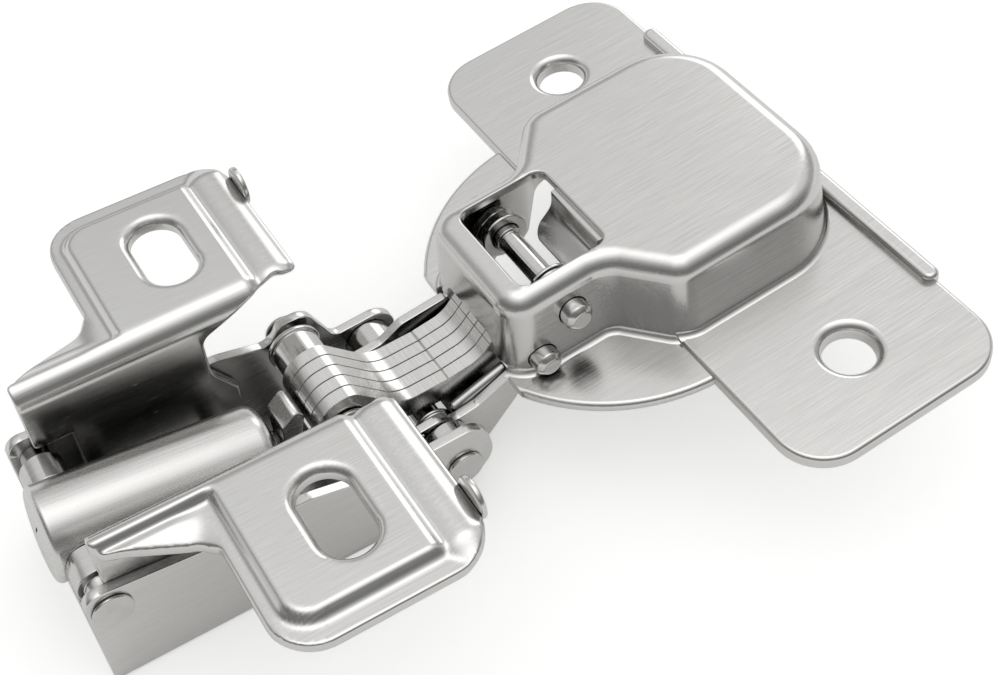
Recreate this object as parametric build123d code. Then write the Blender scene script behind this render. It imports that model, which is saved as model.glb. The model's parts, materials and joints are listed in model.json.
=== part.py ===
# Concealed face-frame cup hinge with a built-in damper, millimetres, +Z up.
# Origin: midway between the two wing slots, on the plane of the wing pads that lies against the frame.
# +X runs towards the cup, +Y along the pivot pins, +Z out of the wing pads.
# The pieces of the cup and of both arms are drawn in the cup's own frame and then placed.
import os
from math import acos, atan2, cos, degrees, hypot, pi, radians, sin, tan
from build123d import *

os.makedirs("parts", exist_ok=True)

# ---- placing of the cup, as the hinge stands open -------------------------
OPEN_PAST = 7.0            # cup plate leans this many degrees past parallel with the wings
CUP_X = 46.03              # mounting holes' midpoint, on the plate's face
CUP_Z = -5.08

# ---- pivots, in the cup's frame (x, z) ------------------------------------
PIN_A = (-17.9, 4.4)       # outer link to cup
PIN_B = (-21.6, 1.0)       # laminated arm to cup
PIV_1 = (-39.1, 1.2)       # laminated arm to arm body
PIV_2 = (-32.0, -4.6)      # outer link to arm body
PIN_A_R = 1.35
PIN_A_WAIST = 1.1          # the rear pin is slimmer between the link's bushes
PIN_B_R = 1.3
PIV_1_R = 1.2
PIV_2_R = 1.25
RUN = 0.05                 # running fit, on the radius

# ---- cup ------------------------------------------------------------------
PLATE_LONG = 61.8
PLATE_WIDE = 21.6
PLATE_T = 1.2
PLATE_CORNER = 4.6
HOLE_PITCH = 45.0
HOLE_R = 2.35
HOLE_RIM = 0.85            # width of the dished rim round each hole
DISC_R = 17.9
DISC_X = -9.2
DISC_TOP = -0.45
DISC_BOTTOM = -1.6
DISC_FRONT = -24.8
POT_TOP = 8.2
POT_WALL = 0.85
POT_DRAFT = 5.0
POT_CROWN = 1.8
NOSE_HALF = 7.9            # half width of the pot's nose where it meets the flange
BELLY_HALF = 13.3
POT_FRONT = -24.8
POT_BACK = 9.4
WAIST_X = -14.6            # the nose widens into the belly between these two
BELLY_X = -10.2
NOSE_CORNER = 3.3
BELLY_CORNER = 3.3
BACK_CORNER = 8.0
WINDOW_X0 = -21.4
WINDOW_X1 = -12.5
WINDOW_HALF = 5.4
WINDOW_CORNER = 1.1
HOLE_LIP = 0.55            # the screw holes' collars hang this far below the plate
FRONT_CUT = 2.2            # the nose wall ends this high above the plate's face over the arm
FRONT_SIDE_CUT = 0.2       # and this high over the link
HEM_LONG = 43.0
HEM_WIDE = 1.7
HEM_HIGH = 0.9
HEM_OUT = 0.4              # the hem stands this far past the plate's edge

# ---- laminated arm --------------------------------------------------------
LEAVES = 5
LEAF_T = 1.34
LEAF_GAP = 0.03
EYE_R = 2.9
EYE_UP = 0.55              # the inner eye is drawn this far above its pin
CUP_EYE_R = 1.95

# ---- outer link -----------------------------------------------------------
LINK_IN = 4.95
LINK_T = 0.95
LINK_LUG_A = 2.1
LINK_LUG_2 = 3.0
LINK_WEB = 10.8            # the web between the cheeks starts this far from the cup pin
LINK_WEB_LONG = 4.1
LINK_DEEP = 4.4            # and lies this far below the line between the pins
LINK_SLOT = 0.09           # clearance of the link's long body-end hole, on the radius
NOTCH_GAP = 0.1            # between the cheeks and the front cup pin, on the radius
LEG_R = 0.58               # the link spring's straight leg
LEG_Y = 4.25
LEG_BACK = (-29.7, -3.1)   # its ends, in the cup's frame
LEG_FRONT = (-23.9, -1.1)

# ---- arm body, outside the wing plate's channel -----------------------------
WALL_IN = 7.5              # half width inside the wing plate's channel
WALL_T = 1.0
BODY_T = 1.0
BODY_GAP = 0.05            # between the body's cheeks and the wing plate's walls
BODY_REAR = -19.2
BODY_FLOOR = -18.1
BODY_TOP = -7.2
WEB_FRONT = 6.0

# ---- wing plate -----------------------------------------------------------
SLOT_HALF_PITCH = 16.7
SLOT_HALF_WIDE = 2.35
SLOT_HALF_LONG = 4.2
SLOT_RIM = 0.6
WING_T = 1.2
WING_BACK = -8.7
WING_FRONT = 9.3
WING_TIP = 26.0
WING_CORNER = 4.0
WING_SKIN = 1.15           # thickness left under the pad
PAD_BACK = -6.8
PAD_FRONT = 5.7            # the crease between the pad and the bead
PAD_TIP = 23.9
PAD_RISE = 0.9             # the pad stands this high above the border
BEAD_X = 7.45              # crest of the bead along the front
BEAD_DIP = 0.45            # depth of the crease behind it
CHANNEL_FLOOR = -16.6      # underside of the web that ties the two wings together
STOP_TAB_Y = 21.0
STOP_TAB_R = 1.9
STOP_TAB_T = 0.5
FOLD_R = 2.2
TONGUE_BACK = -17.2

# ---- damper ---------------------------------------------------------------
DAMPER_R = 4.3
DAMPER_REAR = -19.9
DAMPER_FRONT = 0.6
DAMPER_DIP = 7.6           # the barrel leans down towards the front, degrees
TRUNNION = (-17.35, -8.6)
TRUNNION_R = 1.3
DAMPER_BORE = 3.2
ROD_R = 1.25
ROD_IN = 8.0               # length of the rod inside the barrel
PISTON_T = 1.6


wall_out = WALL_IN + WALL_T
body_in = wall_out + BODY_GAP
body_out = body_in + BODY_T
link_out = LINK_IN + LINK_T
pack = LEAVES * LEAF_T + (LEAVES - 1) * LEAF_GAP
pack_side = pack / 2 + 0.08   # springs and bushes stay this far from the middle


def place(shape):
    # from the cup's frame to the hinge's frame
    return Location((CUP_X, 0, CUP_Z), (0, -OPEN_PAST, 0)) * shape


def hinge_xz(point):
    # the same, for an (x, z) point
    a = radians(OPEN_PAST)
    return (CUP_X + point[0] * cos(a) - point[1] * sin(a), CUP_Z + point[0] * sin(a) + point[1] * cos(a))


def outline(points):
    # closed face through (u, v, corner radius) points
    edges = []
    ends = []
    n = len(points)
    for i in range(n):
        px, py, _ = points[i - 1]
        x, y, r = points[i]
        qx, qy, _ = points[(i + 1) % n]
        ax, ay = px - x, py - y
        bx, by = qx - x, qy - y
        la, lb = hypot(ax, ay), hypot(bx, by)
        ax, ay, bx, by = ax / la, ay / la, bx / lb, by / lb
        half = acos(max(-1.0, min(1.0, ax * bx + ay * by))) / 2
        if r <= 0 or abs(half - pi / 2) < 1e-3:
            ends.append(((x, y), (x, y)))
            continue
        t = r / tan(half)
        start = (x + ax * t, y + ay * t)
        stop = (x + bx * t, y + by * t)
        mx, my = ax + bx, ay + by
        lm = hypot(mx, my)
        reach = r / sin(half) - r
        middle = (x + mx / lm * reach, y + my / lm * reach)
        ends.append((start, stop))
        edges.append(ThreePointArc(start, middle, stop))
    for i in range(n):
        a = ends[i - 1][1]
        b = ends[i][0]
        if hypot(a[0] - b[0], a[1] - b[1]) > 1e-6:
            edges.append(Line(a, b))
    return make_face(edges)


def slab(face, y0, y1):
    # an x-z face made solid between two y values
    return extrude(Plane.XZ.offset(-y0) * face, amount=y1 - y0, dir=(0, 1, 0))


def rod(x, z, r, y0, y1):
    # round bar along y
    return slab(Pos(x, z) * Circle(r), y0, y1)


def plan(face, z0, z1):
    # an x-y face made solid between two z values
    return extrude(Plane.XY.offset(z0) * face, amount=z1 - z0, dir=(0, 0, 1))


def soft(solid, edges, r):
    # rounded edges, left sharp where the round will not fit
    try:
        return fillet(edges, r)
    except Exception:
        return solid


def save(name, shape):
    shape.label = name
    export_step(shape, "parts/" + name + ".step")
    print(name, "volume", round(shape.volume, 2))


# ---- cup: pot, round flange and screw plate, one stamping -------------------
def pot_outline(inset):
    half_n = NOSE_HALF - inset
    half_b = BELLY_HALF - inset
    front = POT_FRONT + inset
    back = POT_BACK - inset
    right = [
        (front, -half_n, NOSE_CORNER - inset),
        (WAIST_X + 0.4 * inset, -half_n, 2.2),
        (BELLY_X + 0.4 * inset, -half_b, BELLY_CORNER - inset),
        (back, -half_b, BACK_CORNER - inset),
    ]
    left = [(x, -y, r) for x, y, r in reversed(right)]
    return outline(right + left)


pot = extrude(Plane.XY.offset(DISC_BOTTOM) * pot_outline(0), amount=POT_TOP - DISC_BOTTOM, taper=POT_DRAFT)
pot = soft(pot, pot.edges().filter_by_position(Axis.Z, POT_TOP - 0.01, POT_TOP + 0.01), POT_CROWN)
hollow_top = POT_TOP - POT_WALL
hollow_foot = Plane.XY.offset(DISC_BOTTOM - 0.01) * pot_outline(POT_WALL)
hollow = extrude(hollow_foot, amount=hollow_top - DISC_BOTTOM, taper=POT_DRAFT)

disc = plan(Pos(DISC_X, 0) * Circle(DISC_R), DISC_BOTTOM, DISC_TOP)
disc -= Pos(DISC_FRONT - 10, 0, 0) * Box(20, 60, 10)
plate = plan(RectangleRounded(PLATE_WIDE, PLATE_LONG, PLATE_CORNER), -PLATE_T, 0)
plate = chamfer(plate.edges().filter_by_position(Axis.Z, -0.01, 0.01), 0.25)
hem_x = PLATE_WIDE / 2 + HEM_OUT - HEM_WIDE / 2
hem = plan(Pos(hem_x, 0) * SlotOverall(HEM_LONG, HEM_WIDE, rotation=90), -0.2, HEM_HIGH)
hem = chamfer(hem.edges().filter_by_position(Axis.Z, HEM_HIGH - 0.01, HEM_HIGH + 0.01), 0.35)
cup = plate + disc + pot + hem
for side in (-1, 1):
    y = side * HOLE_PITCH / 2
    cup += Pos(0, y, -PLATE_T - 0.25) * Cylinder(HOLE_R + 0.8, 0.6)
    cup -= Pos(0, y, -1) * Cylinder(HOLE_R, 6)
    cup -= Pos(0, y, -0.3) * Cone(HOLE_R, HOLE_R + HOLE_RIM, 0.6)
cup -= hollow
window = Pos((WINDOW_X0 + WINDOW_X1) / 2, 0, POT_TOP) * extrude(
    RectangleRounded(WINDOW_X1 - WINDOW_X0, 2 * WINDOW_HALF, WINDOW_CORNER), amount=3, both=True)
cup -= window
mouth = outline([(-6.3, -6, 0), (6.3, -6, 0), (6.3, FRONT_SIDE_CUT, 1.0), (4.3, FRONT_SIDE_CUT, 0.5),
    (3.75, FRONT_CUT, 1.0), (-3.75, FRONT_CUT, 1.0), (-4.3, FRONT_SIDE_CUT, 0.5), (-6.3, FRONT_SIDE_CUT, 1.0)])
cup -= extrude(Plane.YZ.offset(POT_FRONT - 2) * mouth, amount=5, dir=(1, 0, 0))
tab_face = outline([
    (-4.6, hollow_top + 0.3, 0),
    (0.9, hollow_top + 0.3, 0),
    (0.9, 5.2, 0.8),
    (-1.4, 2.4, 1.4),
    (-3.6, 2.4, 1.6),
    (-4.6, 4.6, 0.8),
])
tab = extrude(Plane.YZ.offset(WINDOW_X1) * tab_face, amount=0.9, dir=(1, 0, 0))
cup += tab
for point, r in ((PIN_A, PIN_A_R), (PIN_B, PIN_B_R)):
    cup -= rod(point[0], point[1], r, -20, 20)
save("cup", place(cup))


# ---- the two cup pins, pressed in the pot's walls ---------------------------
def cup_pin(point, r, reach):
    pin = rod(point[0], point[1], r, -reach, reach)
    return chamfer(pin.edges().filter_by(GeomType.CIRCLE), 0.45)


rear_pin = cup_pin(PIN_A, PIN_A_R, 8.9)
rear_pin -= rod(PIN_A[0], PIN_A[1], PIN_A_R + 1, -2.9, 2.9) - rod(PIN_A[0], PIN_A[1], PIN_A_WAIST, -3, 3)
save("cup_pin_rear", place(rear_pin))
save("cup_pin_front", place(cup_pin(PIN_B, PIN_B_R, 9.1)))

# ---- laminated arm: five equal profiles side by side ------------------------
eye_x, eye_z = PIV_1[0], PIV_1[1] + EYE_UP
beam = outline([
    (-41.6, 1.6, 0),
    (-38.9, 4.65, 0),
    (-37.2, 3.95, 1.6),
    (-33.3, -0.35, 2.4),
    (-29.2, -0.6, 2.0),
    (-26.0, -0.25, 1.8),
    (-23.3, 1.6, 0),
    (-21.6, 2.95, 0),
    (-19.65, 1.0, 0),
    (-20.9, -1.2, 1.0),
    (-23.2, -2.1, 1.5),
    (-25.8, -3.0, 2.0),
    (-28.4, -3.0, 2.0),
    (-31.6, -2.75, 2.0),
    (-34.4, -2.2, 2.0),
    (-37.0, -0.6, 1.5),
])
leaf_face = beam + Pos(eye_x, eye_z) * Circle(EYE_R) + Pos(PIN_B[0], PIN_B[1]) * Circle(CUP_EYE_R)
leaf_face -= Pos(PIV_1[0], PIV_1[1]) * Circle(PIV_1_R + RUN)
leaf_face -= Pos(PIN_B[0], PIN_B[1]) * Circle(PIN_B_R + RUN)
for i in range(LEAVES):
    y0 = -pack / 2 + i * (LEAF_T + LEAF_GAP)
    save("arm_leaf_" + str(i + 1), place(slab(leaf_face, y0, y0 + LEAF_T)))

# ---- outer link: two cheeks and a web ---------------------------------------
ua = atan2(PIV_2[1] - PIN_A[1], PIV_2[0] - PIN_A[0])


def along_link(u, n):
    # point at u along the line from the cup pin to the body pin, n to its lower side
    return (PIN_A[0] + u * cos(ua) - n * sin(ua), PIN_A[1] + u * sin(ua) + n * cos(ua))


low_1 = along_link(0.0, LINK_LUG_A - 0.01)
low_2 = along_link(5.2, 3.3)
low_3 = along_link(LINK_WEB - 0.4, LINK_DEEP)
low_4 = along_link(LINK_WEB + LINK_WEB_LONG + 0.5, LINK_DEEP + 1.0)
low_5 = along_link(19.4, 2.4)
cheek_face = outline([
    (PIN_A[0] - 1.7, PIN_A[1] + 1.2, 0),
    (low_1[0], low_1[1], 0),
    (low_2[0], low_2[1], 3.0),
    (low_3[0], low_3[1], 3.0),
    (low_4[0], low_4[1], 1.4),
    (low_5[0], low_5[1], 1.4),
    (-36.4, -5.6, 1.6),
    (-36.2, -1.95, 1.6),
    (-31.9, -1.95, 1.2),
    (-30.4, -3.1, 1.2),
    (-28.0, -2.9, 2.0),
    (-24.2, -1.5, 0.6),
])
cheek_face += Pos(PIN_A[0], PIN_A[1]) * Circle(LINK_LUG_A)
cheek_face -= Pos(PIN_A[0], PIN_A[1]) * Circle(PIN_A_R + RUN)
# the body-end hole is long: this is the linkage's open pivot, and the pin wanders in it
wander = [(0, 0), (-1.0, -0.05), (-2.4, 0.25), (-2.72, 0.75), (-2.1, 0.98), (-0.8, 0.55)]
spots = Sketch() + [Pos(PIV_2[0] + dx, PIV_2[1] + dz) * Circle(PIV_2_R + LINK_SLOT) for dx, dz in wander]
cheek_face -= make_hull(spots.edges())
# the front cup pin swings round the rear one, past the cheeks
swing = hypot(PIN_B[0] - PIN_A[0], PIN_B[1] - PIN_A[1])
clear = PIN_B_R + NOTCH_GAP
ring = Circle(swing + clear) - Circle(swing - clear)
b_way = atan2(PIN_B[1] - PIN_A[1], PIN_B[0] - PIN_A[0])
way_out = 3 * swing
sector = Polygon((0, 0), (way_out * cos(b_way), way_out * sin(b_way)), (-way_out, way_out), (0, way_out), align=None)
cheek_face -= Pos(PIN_A[0], PIN_A[1]) * (ring & sector)
cheek_face -= Pos(PIN_B[0], PIN_B[1]) * Circle(clear)
link = slab(cheek_face, LINK_IN, link_out) + slab(cheek_face, -link_out, -LINK_IN)
web_a = along_link(LINK_WEB, LINK_DEEP)
web_b = along_link(LINK_WEB + LINK_WEB_LONG, LINK_DEEP + 0.85)
web_c = along_link(LINK_WEB + LINK_WEB_LONG - 0.2, LINK_DEEP + 0.85 - LINK_T)
web_d = along_link(LINK_WEB + 0.2, LINK_DEEP - LINK_T)
web_face = Polygon(web_a, web_b, web_c, web_d, align=None)
link += slab(web_face, -LINK_IN - 0.2, LINK_IN + 0.2)
save("outer_link", place(link))

# ---- straight legs of the link springs, lying along the cheeks ----------------
leg_run = hypot(LEG_FRONT[0] - LEG_BACK[0], LEG_FRONT[1] - LEG_BACK[1])
leg_rise = degrees(atan2(LEG_FRONT[1] - LEG_BACK[1], LEG_FRONT[0] - LEG_BACK[0]))
leg = extrude(Plane.YZ * Circle(LEG_R), amount=leg_run, dir=(1, 0, 0))
for name, side in (("spring_leg_left", 1), ("spring_leg_right", -1)):
    save(name, place(Location((LEG_BACK[0], side * LEG_Y, LEG_BACK[1]), (0, -leg_rise, 0)) * leg))


# ---- collars between the outer link and the rest ----------------------------
def collar(point, r_in, r_out, y0, y1):
    return rod(point[0], point[1], r_out, y0, y1) - rod(point[0], point[1], r_in, y0 - 1, y1 + 1)


far_collar = collar(PIN_A, PIN_A_R + RUN, 2.0, pack_side + 0.4, LINK_IN - 0.05)
far_collar += collar(PIN_A, PIN_A_R + RUN, 2.3, pack_side + 0.1, pack_side + 0.45)
save("link_bush_left", place(far_collar))
save("link_bush_right", place(mirror(far_collar, Plane.XZ)))
save("link_spacer_left", place(collar(PIV_2, PIV_2_R + RUN, 2.3, link_out + 0.05, body_in - 0.05)))
save("link_spacer_right", place(collar(PIV_2, PIV_2_R + RUN, 2.3, 0.05 - body_in, -link_out - 0.05)))

# ---- springs, as sleeves round their pins -----------------------------------
save("link_spring_left", place(collar(PIV_2, PIV_2_R + RUN, 1.95, pack_side, LINK_IN - 0.08)))
save("link_spring_right", place(collar(PIV_2, PIV_2_R + RUN, 1.95, 0.08 - LINK_IN, -pack_side)))
save("arm_spring_left", place(collar(PIV_1, PIV_1_R + RUN, 2.5, pack_side, WALL_IN - 0.1)))
save("arm_spring_right", place(collar(PIV_1, PIV_1_R + RUN, 2.5, 0.1 - WALL_IN, -pack_side)))


# ---- riveted pivots of the arm body -----------------------------------------
def rivet(point, r, head_r, head_t):
    pin = rod(point[0], point[1], r, -body_out - head_t, body_out + head_t)
    for y0 in (body_out, -body_out - head_t):
        pin += rod(point[0], point[1], head_r, y0, y0 + head_t)
    return pin


p1 = hinge_xz(PIV_1)
p2 = hinge_xz(PIV_2)
save("pivot_inner", rivet(p1, PIV_1_R, 1.7, 0.3))
save("pivot_outer", rivet(p2, PIV_2_R, 1.75, 0.45))

# ---- arm body: folded channel outside the wing plate's walls ----------------
cheek = outline([
    (BODY_REAR, BODY_FLOOR, 0),
    (BODY_REAR + 0.5, BODY_TOP, 2.0),
    (0.4, BODY_TOP - 0.3, 3.0),
    (5.2, -8.7, 1.2),
    (6.6, -6.75, 1.4),
    (9.3, -6.75, 1.6),
    (11.0, -9.6, 1.2),
    (17.3, -9.2, 2.2),
    (18.0, -13.6, 2.4),
    (15.4, -16.3, 2.4),
    (-4.0, BODY_FLOOR, 3.0),
])
body = slab(cheek, body_in, body_out) + slab(cheek, -body_out, -body_in)
floor_face = Rectangle(WEB_FRONT - BODY_REAR, 2 * body_out - 0.5)
body += Pos((WEB_FRONT + BODY_REAR) / 2, 0, 0) * plan(floor_face, BODY_FLOOR - 0.1, BODY_FLOOR + BODY_T - 0.1)
for point, r in ((p1, PIV_1_R), (p2, PIV_2_R), (TRUNNION, TRUNNION_R)):
    body -= rod(point[0], point[1], r, -20, 20)
save("arm_body", body)

# ---- wing plate: two pads, tongues and channel walls, one stamping ----------
border = -PAD_RISE
under = border - WING_T
rim_face = outline([
    (WING_BACK, WALL_IN + 0.6, 0),
    (WING_FRONT, WALL_IN + 0.6, 0.8),
    (WING_FRONT, WING_TIP, WING_CORNER),
    (WING_BACK, WING_TIP, WING_CORNER),
])
skin = outline([
    (WING_BACK, border - 0.1, 0),
    (PAD_BACK - 0.75, border, 0.5),
    (PAD_BACK, 0, 0.8),
    (PAD_FRONT - 1.0, 0, 1.5),
    (PAD_FRONT, -BEAD_DIP, 0),
    (BEAD_X - 0.75, 0, 1.0),
    (BEAD_X + 0.75, 0, 1.0),
    (WING_FRONT, border, 0),
    (WING_FRONT, under, 0),
    (WING_BACK, under, 0),
])
beneath = outline([
    (PAD_BACK + 0.9, under - 1, 0),
    (PAD_BACK + 0.9, -WING_SKIN, 0.5),
    (PAD_FRONT - 1.0, -WING_SKIN, 0),
    (PAD_FRONT, -WING_SKIN - BEAD_DIP, 0),
    (BEAD_X - 0.5, -WING_SKIN, 0),
    (BEAD_X + 0.4, -WING_SKIN, 0),
    (WING_FRONT - WING_SKIN, border - WING_SKIN, 0),
    (WING_FRONT - WING_SKIN, under - 1, 0),
])
edge_slope = outline([
    (PAD_TIP - 0.5, 1, 0),
    (PAD_TIP - 0.5, 0, 0),
    (PAD_TIP + 0.4, border, 0),
    (WING_TIP + 1, border - 0.1, 0),
    (WING_TIP + 1, 1, 0),
])
wing = plan(rim_face, under, 0) & slab(skin, WALL_IN, WING_TIP)
wing -= slab(beneath, WALL_IN, PAD_TIP - 1.1)
wing -= extrude(Plane.YZ.offset(WING_BACK - 1) * edge_slope, amount=WING_FRONT - WING_BACK + 2, dir=(1, 0, 0))
fold_face = outline([
    (WALL_IN, CHANNEL_FLOOR, 0),
    (WALL_IN, 0, FOLD_R),
    (wall_out + 2.5, 0, 0),
    (wall_out + 2.5, -WING_SKIN, 0),
    (wall_out, -WING_SKIN, FOLD_R - WALL_T),
    (wall_out, CHANNEL_FLOOR, 0),
])
fold = extrude(Plane.YZ.offset(PAD_BACK) * fold_face, amount=PAD_FRONT - 1.0 - PAD_BACK, dir=(1, 0, 0))
tongue_face = outline([
    (WALL_IN, CHANNEL_FLOOR, 0),
    (WALL_IN, 0.15, FOLD_R),
    (13.4, -3.2, 0),
    (12.9, -4.25, 0),
    (wall_out, -WALL_T - 0.75, FOLD_R - WALL_T),
    (wall_out, CHANNEL_FLOOR, 0),
])
tongue = extrude(Plane.YZ.offset(TONGUE_BACK) * tongue_face, amount=PAD_BACK + 0.3 - TONGUE_BACK, dir=(1, 0, 0))
trim = outline([
    (TONGUE_BACK - 1, WALL_IN - 1.5, 0),
    (TONGUE_BACK, wall_out + 1.4, 1.2),
    (WING_BACK - 0.9, wall_out + 4.1, 1.5),
    (WING_BACK, wall_out + 6, 0),
    (WING_BACK + 1.7, wall_out + 6, 0),
    (WING_BACK + 1.7, WALL_IN - 1.5, 0),
])
tongue = tongue & plan(trim, -20, 5)
wing = wing + fold + tongue
# the walls stop short at the rear, over the trunnion, and sweep back under the front of the pads
wing -= Pos(TONGUE_BACK + 1.6, wall_out, -14.0) * Box(3.6, 6, 14)
sweep_back = outline([
    (1.3, CHANNEL_FLOOR - 1, 0),
    (1.3, -10.6, 0.6),
    (-0.75, -7.5, 3.0),
    (-0.75, -3.0, 1.0),
    (PAD_FRONT - 0.6, -WING_SKIN - 0.05, 0),
    (PAD_FRONT, -WING_SKIN - 0.05, 0),
    (PAD_FRONT, CHANNEL_FLOOR - 1, 0),
])
wing -= slab(sweep_back, 6, wall_out + 0.01)
hole = Pos(0, SLOT_HALF_PITCH, 0) * SlotOverall(2 * SLOT_HALF_LONG, 2 * SLOT_HALF_WIDE, rotation=90)
wing -= plan(hole, -5, 3)
rim = SlotOverall(2 * (SLOT_HALF_LONG + SLOT_RIM), 2 * (SLOT_HALF_WIDE + SLOT_RIM), rotation=90)
rim = Pos(0, SLOT_HALF_PITCH, 0) * rim
wing -= extrude(Plane.XY.offset(0.01) * rim, amount=-0.6, taper=45)
stop_tab = Pos(STOP_TAB_Y, -0.3) * Circle(STOP_TAB_R)
wing += extrude(Plane.YZ.offset(WING_FRONT - 0.02) * stop_tab, amount=STOP_TAB_T, dir=(1, 0, 0))
tie = plan(Pos(-7.0, 0) * Rectangle(9.0, 2 * wall_out), CHANNEL_FLOOR, CHANNEL_FLOOR + WALL_T)
save("wing_plate", wing + mirror(wing, Plane.XZ) + tie)

# ---- damper: barrel, end cap, gland, trunnion, rod and push strut -----------
length = DAMPER_FRONT - DAMPER_REAR
at = Location((TRUNNION[0], 0, TRUNNION[1]), (0, DAMPER_DIP, 0))


def barrel_part(x0, x1, r):
    # round piece on the barrel's axis, x measured from the trunnion
    return at * (Plane.YZ.offset(x0) * extrude(Circle(r), amount=x1 - x0))


rear = DAMPER_REAR - TRUNNION[0]
front = DAMPER_FRONT - TRUNNION[0]
barrel = barrel_part(rear + 0.9, front - 1.3, DAMPER_R) - barrel_part(rear, front, DAMPER_BORE)
save("damper_barrel", barrel)
rear_cap = barrel_part(rear, rear + 0.9, DAMPER_R) + barrel_part(rear + 0.9, rear + 3.2, DAMPER_BORE)
save("damper_rear_cap", rear_cap)
gland = barrel_part(front - 1.3, front, DAMPER_R - 0.25) + barrel_part(front - 4.0, front - 1.3, DAMPER_BORE)
gland -= barrel_part(front - 6, front + 1, ROD_R + 0.1)
save("damper_gland", gland)
save("damper_rod", barrel_part(front - ROD_IN, front + 1.1, ROD_R))
save("damper_piston", barrel_part(front - ROD_IN - PISTON_T, front - ROD_IN, DAMPER_BORE - 0.1))
strut_face = outline([
    (1.7, -12.3, 0.4),
    (3.3, -12.3, 0.6),
    (3.2, -10.2, 0.8),
    (3.95, -7.2, 0.5),
    (3.2, -6.2, 0.5),
    (1.7, -7.6, 0.5),
])
strut = slab(strut_face, -1.6, 1.6) - barrel_part(front - ROD_IN, front + 1.1, ROD_R)
save("push_strut", strut)
for name, side in (("trunnion_left", 1), ("trunnion_right", -1)):
    stub = rod(TRUNNION[0], TRUNNION[1], TRUNNION_R, 4.0, body_out + 0.35)
    stub += rod(TRUNNION[0], TRUNNION[1], 1.95, 4.0, 6.9)
    stub += rod(TRUNNION[0], TRUNNION[1], 1.75, body_out, body_out + 0.35)
    stub -= barrel_part(rear, front, DAMPER_R)
    save(name, stub if side > 0 else mirror(stub, Plane.XZ))
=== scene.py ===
import json
import math

import bmesh
import bpy
from mathutils import Matrix, Vector


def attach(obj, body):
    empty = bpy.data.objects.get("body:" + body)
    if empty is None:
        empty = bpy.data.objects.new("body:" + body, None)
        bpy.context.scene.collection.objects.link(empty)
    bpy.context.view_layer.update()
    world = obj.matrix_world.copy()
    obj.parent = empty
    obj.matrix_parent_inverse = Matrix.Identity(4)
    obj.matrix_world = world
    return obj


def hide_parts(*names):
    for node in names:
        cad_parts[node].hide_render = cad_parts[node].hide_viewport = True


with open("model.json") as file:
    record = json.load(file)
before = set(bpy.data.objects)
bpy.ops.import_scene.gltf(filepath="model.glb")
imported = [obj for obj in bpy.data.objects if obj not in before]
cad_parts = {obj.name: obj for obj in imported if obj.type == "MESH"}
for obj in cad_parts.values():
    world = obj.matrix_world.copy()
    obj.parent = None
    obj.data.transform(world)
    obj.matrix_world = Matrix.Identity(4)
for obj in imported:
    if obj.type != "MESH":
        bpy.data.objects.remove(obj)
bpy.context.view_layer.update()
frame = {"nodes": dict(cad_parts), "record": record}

mm = 0.001
nodes = frame["nodes"]


def sine(degrees):
    return math.sin(math.radians(degrees))


def cosine(degrees):
    return math.cos(math.radians(degrees))


def moved(x, y, z):
    return Matrix.Translation((x, y, z))


def spun(degrees, axis):
    return Matrix.Rotation(math.radians(degrees), 4, axis)


def colour(text):
    # sRGB hex to linear RGBA
    channels = [int(text[i:i + 2], 16) / 255 for i in (1, 3, 5)]
    return [c / 12.92 if c <= 0.04045 else ((c + 0.055) / 1.055) ** 2.4 for c in channels] + [1.0]


def addNode(tree, kind, settings=None, links=None):
    # one node, its settings (attributes or input values) and what feeds its inputs
    made = tree.nodes.new(kind)
    for key, value in (settings or {}).items():
        if isinstance(key, int) or not hasattr(made, key):
            made.inputs[key].default_value = value
        else:
            setattr(made, key, value)
    for key, source in (links or {}).items():
        tree.links.new(source, made.inputs[key])
    return made


def blankMaterial(name):
    material = bpy.data.materials.new(name)
    material.use_nodes = True
    material.node_tree.nodes.clear()
    return material, material.node_tree


# Metals. "lines" is the size of one tool mark along x, y and z in mm, "turn" tilts them about y in degrees,
# "cloud" is the size of the broad unevenness and "depth" the height of a mark, both in mm.
# Real brush lines are about 0.03 mm wide, too fine to show, so they are drawn at 0.085 mm.
# The last entry of each is how far painted shade darkens the colour in creases, as a share of it.
brushed = {"tint": "#dcdbd9", "rough": 0.22, "roughSpread": 0.10, "lines": (4.5, 0.085, 0.085), "turn": 0,
           "depth": 0.0026, "cloud": 6.0, "uneven": 0.25, "paintedShade": 0.55}
metals = {
    # nickel plate over stamped sheet, brushed before plating: soft reflections with fine lines along the hinge
    "satinNickelSheet": brushed,
    # the same on the cup, whose lines run along its own tilted plate
    "satinNickelCup": {**brushed, "turn": 7},
    # the same plate on small sheared profiles, with broad chatter across the cut, a duller face and darker
    # painted shade in its creases
    "shearedProfile": {"tint": "#e0dfdd", "rough": 0.24, "roughSpread": 0.08, "lines": (0.16, 3.6, 3.0),
                       "turn": 7, "depth": 0.001, "cloud": 1.2, "uneven": 0.4, "paintedShade": 0.75},
    # turned and plated pins: tool lines run round them
    "turnedPin": {"tint": "#d6d5d3", "rough": 0.17, "roughSpread": 0.10, "lines": (2.0, 0.12, 2.0),
                  "turn": 0, "depth": 0.002, "cloud": 2.0, "uneven": 0.5, "paintedShade": 0.75},
    # drawn spring wire, bright where it is burnished
    "springWire": {"tint": "#cfcecd", "rough": 0.16, "roughSpread": 0.08, "lines": (1.2, 1.2, 1.2),
                   "turn": 0, "depth": 0.001, "cloud": 1.0, "uneven": 0.5, "paintedShade": 0.8},
    # drawn tube of the damper, satin all round with faint lines along it
    "drawnTube": {"tint": "#dddcda", "rough": 0.27, "roughSpread": 0.08, "lines": (7.0, 0.12, 0.12),
                  "turn": -7.6, "depth": 0.0018, "cloud": 4.0, "uneven": 0.3, "paintedShade": 0.5},
}
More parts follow.
